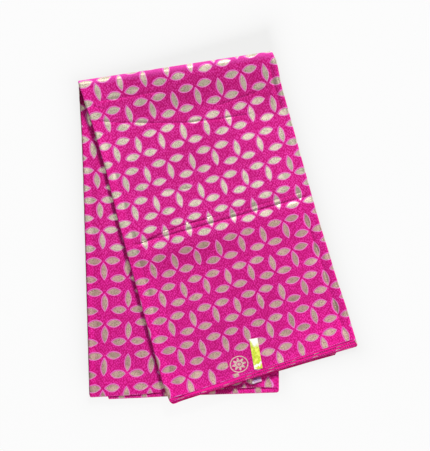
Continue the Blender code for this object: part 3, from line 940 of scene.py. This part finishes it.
def wax_ground_group():
    """The dyed ground: fine lighter dots in uneven rows over a slightly mottled dye."""
    inputs = {"Place": "Vector", "Dye": "Color", "Light": "Color", "Deep": "Color"}
    tree, entry, out = group("wax_ground", inputs, {"Color": "Color"})
    spot = entry["Place"]
    rows = {"Vector": spot, "Rotation": (0, 0, math.radians(38)), "Scale": (1.0, 0.82, 1)}
    turned = add(tree, "Mapping", rows).outputs[0]
    cells = {"Vector": turned, "Scale": 1 / WAX["dot"], "Randomness": 0.62}
    dots = add(tree, "TexVoronoi", cells, feature="F1", voronoi_dimensions="2D")
    dot = ramp(dots.outputs["Distance"], 0.56, 0.12)
    deep = ramp(noise(spot, 1 / WAX["mottle"], 2.0, 0.6), 0.60, 0.34)
    base = mixed(times(deep, 0.95), entry["Dye"], entry["Deep"])
    patch = noise(spot, 1 / WAX["patch"], 3.0)
    join(out["Color"], mixed(times(dot, ramp(patch, 0.34, 0.66, 0.55, 1.0)), base, entry["Light"]))
    return tree


def mark_group():
    """The mill's mark, a rosette of petals in a fine ring, and where the ground round it is bare."""
    tree, entry, out = group("mark", {"Place": "Vector"}, {"Mark": "Float", "Bare": "Float"})
    axes = split(entry["Place"])
    sides = [minus(maths("ABSOLUTE", minus(axis, middle)), half)
             for axis, middle, half in zip(axes, BARE["middle"], BARE["half"])]
    join(out["Bare"], ramp(larger(*sides), 0.3 * MM, -0.3 * MM))
    x, y = [maths("DIVIDE", minus(axis, middle), reach)
            for axis, middle, reach in zip(axes, MARK["middle"], MARK["radius"])]
    radius = maths("SQRT", plus(times(x, x), times(y, y)))
    turn = times(maths("ARCTAN2", y, x), MARK["petals"])
    petal = scaled(maths("COSINE", turn), MARK["swing"], MARK["petal"])
    petals = ramp(minus(radius, petal), 0.04, -0.04)
    heart = ramp(maths("ABSOLUTE", minus(radius, MARK["heart"])), 0.03, 0.08)
    ring = ramp(maths("ABSOLUTE", minus(radius, MARK["ring"])), 0.075, 0.035)
    join(out["Mark"], larger(times(petals, heart), ring))
    return tree


def weave_group():
    """Plain weave as a height from 0 to 1: sine waves across and along, times each other."""
    tree, entry, out = group("plain_weave", {"Place": "Vector", "Thread": "Float"}, {"Height": "Float"})
    waves = [maths("SINE", times(maths("DIVIDE", axis, entry["Thread"]), math.pi))
             for axis in split(entry["Place"])]
    join(out["Height"], scaled(times(*waves), 0.5, 0.5))
    return tree


def shader(name, **constants):
    """A material with a Principled shader, its constant values set on its own sockets."""
    material = bpy.data.materials.new(name)
    material.use_nodes = True
    principled = material.node_tree.nodes["Principled BSDF"]
    finish(principled, **constants)
    return material, material.node_tree, principled


def dyed_ground(tree, spot, to_side, to_end, painted_shading, from_fold, wax_ground):
    """The wax ground, with painted light along the folded side edges, a painted sheen and shade on the top
    fold's rim, and painted light and shade where the table of painted shading says. Also the share of painted
    shade, and the share that marks the part past the crease across the middle, where dots and gold are
    painted with less sheen."""
    below_crease = ramp(to_end, *BELOW_CREASE)
    # Past the crease across the middle the lighter dots are painted with less sheen
    dots = mixed(below_crease, DOT, LOW_DOT)
    ground = place_group(tree, wax_ground, Place=spot, Dye=DYE, Light=dots, Deep=DEEP)["Color"]
    # Painted light along the folded side edges
    ground = tinted(plus(ramp(to_side, *PAINTED_SIDE_LIGHT_WIDE), ramp(to_side, *PAINTED_SIDE_LIGHT_EDGE)), ground, PAINTED_LIGHT)
    # Painted light where the shading table is above 0 and painted shade where it is below; where it is
    # deepest, painted shade again, for dark shadows
    ground = tinted(larger(painted_shading, 0.0), ground, PAINTED_LIGHT)
    shade_share = larger(times(painted_shading, -1.0), 0.0)
    ground = tinted(shade_share, ground, PAINTED_SHADE)
    ground = tinted(ramp(shade_share, 0.9, 1.9), ground, PAINTED_SHADE)
    # Painted sheen and shade on the top fold's rim
    return mixed(ramp(from_fold, *FOLD_RIM_PAINT), ground, RIM_SHEEN_AND_SHADE), shade_share, below_crease


def printed_cotton(name, leaf_repeat, wax_ground, weave, mark=None):
    """The printed side: dyed ground, leaves outlined in lilac, a metallic gold print a little off its place,
    and a dotted lilac line along the selvedge, its gaps painted dark as the shadow of the ply above. The
    front also has the mill's mark."""
    material, tree, principled = shader(name, Sheen_Weight=0.12, Sheen_Roughness=0.35,
                                        Sheen_Tint=SHEEN, Specular_IOR_Level=0.08)
    spot = map_place(tree, "print")
    to_side, to_end = split(map_place(tree, "selvedge"))
    painted_shading, from_fold = split(map_place(tree, "painted_shading"))
    hand = noise(spot, 1 / HAND["size"], 1.0, output="Color")
    centred = add(tree, "VectorMath", {0: hand, 1: (0.5, 0.5, 0.5)}, operation="SUBTRACT").outputs[0]
    wander = {0: centred, 1: (HAND["drift"],) * 3, 2: spot}
    drawn = add(tree, "VectorMath", wander, operation="MULTIPLY_ADD").outputs[0]
    offset = {0: drawn, 1: (GOLD_SHIFT, GOLD_SHIFT, 0)}
    shifted = add(tree, "VectorMath", offset, operation="SUBTRACT").outputs[0]
    outline = place_group(tree, leaf_repeat, Place=drawn)[0]
    outline = larger(outline, minus(LEAVES_STOP, to_end))
    gold_place = place_group(tree, leaf_repeat, Place=shifted)[0]
    gold_place = larger(gold_place, minus(GOLD_STOPS - GOLD_INSET, to_end))

    ground, shade_share, below_crease = dyed_ground(tree, spot, to_side, to_end, painted_shading, from_fold, wax_ground)
    in_leaf = ramp(outline, 0.2 * MM, -0.4 * MM)
    in_ring = times(in_leaf, ramp(outline, -OUTLINE - SOFT_EDGE, -OUTLINE + SOFT_EDGE))
    in_gold = ramp(gold_place, -GOLD_INSET + SOFT_EDGE, -GOLD_INSET - SOFT_EDGE)
    if mark:
        marked = place_group(tree, mark, Place=map_place(tree, "mark"))
        leafy = minus(1.0, marked["Bare"])
        in_leaf, in_ring, in_gold = [times(part, leafy) for part in (in_leaf, in_ring, in_gold)]

    speck = noise(spot, 1 / SPECK, 2.0, 0.7)
    tint = noise(spot, 1 / GOLD_PATCH, 4.0, 0.62)
    cover = times(in_gold, ramp(speck, 0.28, 0.42, minus(0.40, times(below_crease, 0.22)), 1.0))
    gold = mixed(ramp(tint, 0.42, 0.58), GOLD_GREEN, GOLD_ROSE)
    gold = mixed(times(ramp(speck, 0.40, 0.60), 0.90), gold, GOLD)
    # Past the crease across the middle the gold is painted dimmer and rosier, as it reflects less light there
    gold = tinted(below_crease, gold, GOLD_BELOW_CREASE)
    # Painted shade dulls the gold too
    gold = tinted(times(shade_share, 1.4), gold, PAINTED_GOLD_SHADE)
    under = mixed(ramp(gold_place, -GOLD_INSET - 0.5 * MM, -GOLD_INSET), DEEP, UNDER_GOLD)
    ring = mixed(ramp(gold_place, 0.6 * MM, -1.0 * MM), LILAC, PALE_LILAC)
    colour = mixed(in_leaf, ground, under)
    colour = mixed(in_ring, colour, ring)

    dash = ramp(maths("SINE", times(split(spot)[0], 2 * math.pi / LINE["dash"])), -0.4, 0.6)
    line = times(ramp(to_end, *LINE["stops"]), ramp(to_end, *LINE["starts"]))
    strongest = 0.35 if mark else 0.60
    line = times(line, ramp(tint, 0.44, 0.58, 0.12, strongest))
    # The selvedge line: lilac dashes, with dark gaps painted as the shadow of the ply above
    colour = mixed(line, colour, mixed(dash, SELVEDGE_SHADOW, SELVEDGE_DOT))
    colour = mixed(cover, colour, gold)
    metal = cover
    if mark:
        printed_mark = times(marked["Mark"], ramp(speck, 0.30, 0.46, 0.4, 1.0))
        colour = mixed(printed_mark, colour, GOLD_ROSE)
        metal = larger(cover, printed_mark)
    threads = place_group(tree, weave, Place=spot, Thread=THREAD)[0]
    height = scaled(threads, 0.35, times(in_gold, 0.35))
    finish(principled, Base_Color=colour, Metallic=times(metal, GOLD_METAL),
           Roughness=ramp(metal, 0.0, 1.0, *ROUGHNESS), Normal=fine_relief(height, 0.35, THREAD_RELIEF))
    return material


def plain_cotton(wax_ground, weave):
    """The back of the cloth: the dye without the leaves."""
    material, tree, principled = shader("plain_cotton", Roughness=0.85, Sheen_Weight=0.04,
                                        Sheen_Roughness=0.4, Specular_IOR_Level=0.12)
    spot = map_place(tree, "print")
    ground = place_group(tree, wax_ground, Place=spot, Dye=PINK, Light=PINK, Deep=DYE)
    threads = place_group(tree, weave, Place=spot, Thread=THREAD)[0]
    finish(principled, Base_Color=ground["Color"], Normal=fine_relief(threads, 0.3, THREAD_RELIEF))
    return material


def lime_foil():
    """The sticker on the face: lime metallic foil with darker flecks, and painted white glare at both ends.
    """
    material, tree, principled = shader("lime_foil", Roughness=0.3, Metallic=0.3)
    spot = map_place(tree, "sticker")
    across, along = split(spot)
    stretched = add(tree, "Mapping", {"Vector": spot, "Scale": (1.0, 3.6, 1)}).outputs[0]
    flecks = noise(stretched, 9.0, 3.0, 0.65, "3D")
    soft = noise(stretched, 2.2, 1.0, dimensions="3D")
    wander = times(minus(soft, 0.5), 0.22)
    fringe = plus(ramp(across, 0.40, 0.0, 0.0, 0.20), wander)
    ragged = scaled(minus(flecks, 0.5), 0.55, fringe)
    upper = ramp(plus(along, ragged), 0.29, 0.19)
    slope = scaled(across, 0.13, plus(along, wander))
    swoosh = ramp(maths("ABSOLUTE", minus(slope, 0.93)), 0.055, 0.030)
    corner = ramp(minus(along, times(across, 0.25)), 0.90, 0.96)
    # White at both ends, ragged at one and a swoosh and a corner at the other: painted glare
    bare = larger(larger(upper, swoosh), corner)
    lime = mixed(ramp(flecks, 0.44, 0.60), LIME, DARK_LIME)
    lime = mixed(ramp(soft, 0.45, 0.65), lime, BRIGHT_LIME)
    finish(principled, Base_Color=mixed(bare, lime, PAINTED_GLARE), Metallic=scaled(bare, -0.28, 0.3),
           Normal=fine_relief(soft, 0.4, 0.5 * MM))
    return material


def silver_foil():
    """The sticker under the front's edge: silver foil with painted reflections, blue-lilac on its upper facet
    and pale pink along its bent-down free end, and a painted glint.
    """
    material, tree, principled = shader("silver_foil", Roughness=0.3, Metallic=0.5)
    spot = map_place(tree, "sticker")
    across, along = split(spot)
    streaks = add(tree, "Mapping", {"Vector": spot, "Scale": (1.2, 5.0, 1)}).outputs[0]
    streak = noise(streaks, 3.0, 3.0, dimensions="3D")
    blue = mixed(ramp(streak, 0.40, 0.62), BLUE_FOIL, PALE_BLUE_FOIL)
    # Painted glint near one corner
    glint = times(ramp(across, 0.22, 0.08), ramp(along, 0.62, 0.50))
    # Pale pink along the bent-down free end: a painted reflection
    colour = mixed(ramp(along, 0.34, 0.26), blue, PINK_REFLECTION)
    finish(principled, Base_Color=mixed(glint, colour, GLINT))
    return material


def dress(piece, nodes):
    """Fasten a piece to the part and hide the solids it stands for."""
    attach(piece, "root")
    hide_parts(*nodes)


def off_half(east, north, turn, width, length):
    """How far floor points lie outside one half of the strip, taken as a turned rectangle."""
    across = east * math.cos(turn) + north * math.sin(turn)
    along = east * math.sin(turn) - north * math.cos(turn)
    past_across = np.maximum(np.maximum(-across, across - width), 0.0)
    past_along = np.maximum(np.maximum(-along, along - length), 0.0)
    return np.hypot(past_across, past_along)


def build_floor():
    """A flat floor with a pale finish that glows a little, as a lit white table does. It is painted a little
    greyer round the cloth, as soft shadow, by exp(-distance / reach), less so to the south."""
    line = np.concatenate([-FAR_LINES[::-1], NEAR_LINES, FAR_LINES])
    x, y = np.meshgrid(line, line)
    count = len(line)
    east, north = x - FOLD_CORNER[0], y - FOLD_CORNER[1]
    distance = np.minimum(off_half(east, north, FRONT_TURN, STRIP, FRONT_LINE[0]),
                          off_half(east, north, REAR_TURN, STRIP, REAR_END))
    points = np.column_stack([x.ravel(), y.ravel(), np.zeros(count * count)])
    mesh = bpy.data.meshes.new("floor")
    mesh.from_pydata(points.tolist(), [], grid_quads(count, count)[:, ::-1].tolist())
    floor_shadow = mesh.attributes.new("floor_shadow", "FLOAT", "POINT")
    shade = np.exp(-distance / FLOOR_SHADOW["reach"])
    shade = shade * (1.0 - FLOOR_SHADOW["loss"] * ease((FLOOR_SHADOW["south"] - y) / FLOOR_SHADOW["south_run"]))
    floor_shadow.data.foreach_set("value", shade.ravel().astype(np.float32))
    material, tree, principled = shader("pale_floor", Roughness=0.9, Specular_IOR_Level=0.1,
                                        Base_Color=FLOOR_BASE, Emission_Strength=GLOW)
    closeness = add(tree, "Attribute", attribute_name="floor_shadow").outputs["Fac"]
    finish(principled, Emission_Color=mixed(closeness, FLOOR_GLOW, FLOOR_SHADE))
    mesh.materials.append(material)
    put("floor", mesh)


def light_scene():
    """A white surround and three rectangular lights."""
    world = bpy.data.worlds.new("soft_white")
    world.use_nodes = True
    background = world.node_tree.nodes["Background"]
    background.inputs["Color"].default_value = (1, 1, 1, 1)
    background.inputs["Strength"].default_value = SURROUND
    bpy.context.scene.world = world
    for lamp in LAMPS:
        light = bpy.data.lights.new(lamp.name, "AREA")
        light.shape = "RECTANGLE"
        light.size, light.size_y = lamp.size
        light.energy = lamp.watts
        item = put(lamp.name, light)
        item.location = lamp.at
        item.rotation_euler = (Vector(lamp.aim) - Vector(lamp.at)).to_track_quat("-Z", "Y").to_euler()
    view = bpy.context.scene.view_settings
    view.view_transform = "Standard"
    view.look = "None"


def aim_camera():
    """Straight down, over the middle of the picture, with its scale at the height of the front's face."""
    camera = bpy.data.cameras.new("camera")
    camera.sensor_width = 36.0
    camera.lens = camera.sensor_width * CAMERA_HEIGHT / (IMAGE[1] * PIXEL)
    camera.clip_end = 50.0
    item = put("camera", camera)
    item.location = ((IMAGE[0] / 2 - ORIGIN_PIXEL[0]) * PIXEL, (ORIGIN_PIXEL[1] - IMAGE[1] / 2) * PIXEL,
                     CAMERA_HEIGHT + FACE_HEIGHT)
    bpy.context.scene.camera = item


def main():
    """Make the finishes and the six pieces, dress the part with them, then set the stage."""
    leaf_repeat, wax_ground, weave = leaf_repeat_group(), wax_ground_group(), weave_group()
    printed = printed_cotton("printed_cotton", leaf_repeat, wax_ground, weave)
    marked = printed_cotton("marked_cotton", leaf_repeat, wax_ground, weave, mark=mark_group())
    plain = plain_cotton(wax_ground, weave)
    cloth = [printed, plain]
    front = build_front_cloth([marked, plain])
    rear = build_rear_cloth(cloth)
    inner = build_inner_plies("inner_plies", materials=cloth, **INNER)
    end = build_inner_plies("end_plies", materials=cloth, **END)
    dress(front, ["front_stretch"])
    dress(rear, ["rear_stretch"])
    dress(inner, ["hidden_plies"])
    dress(end, ["hidden_plies"])
    foil_label = build_label("foil_sticker", FOIL_LABEL, PILE, 1, foil_rise, lime_foil())
    edge_label = build_label("edge_sticker", EDGE_LABEL, 0.0, -1, edge_rise, silver_foil())
    dress(foil_label, ["foil_label"])
    dress(edge_label, ["edge_label"])
    build_floor()
    light_scene()
    aim_camera()
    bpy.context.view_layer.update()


main()
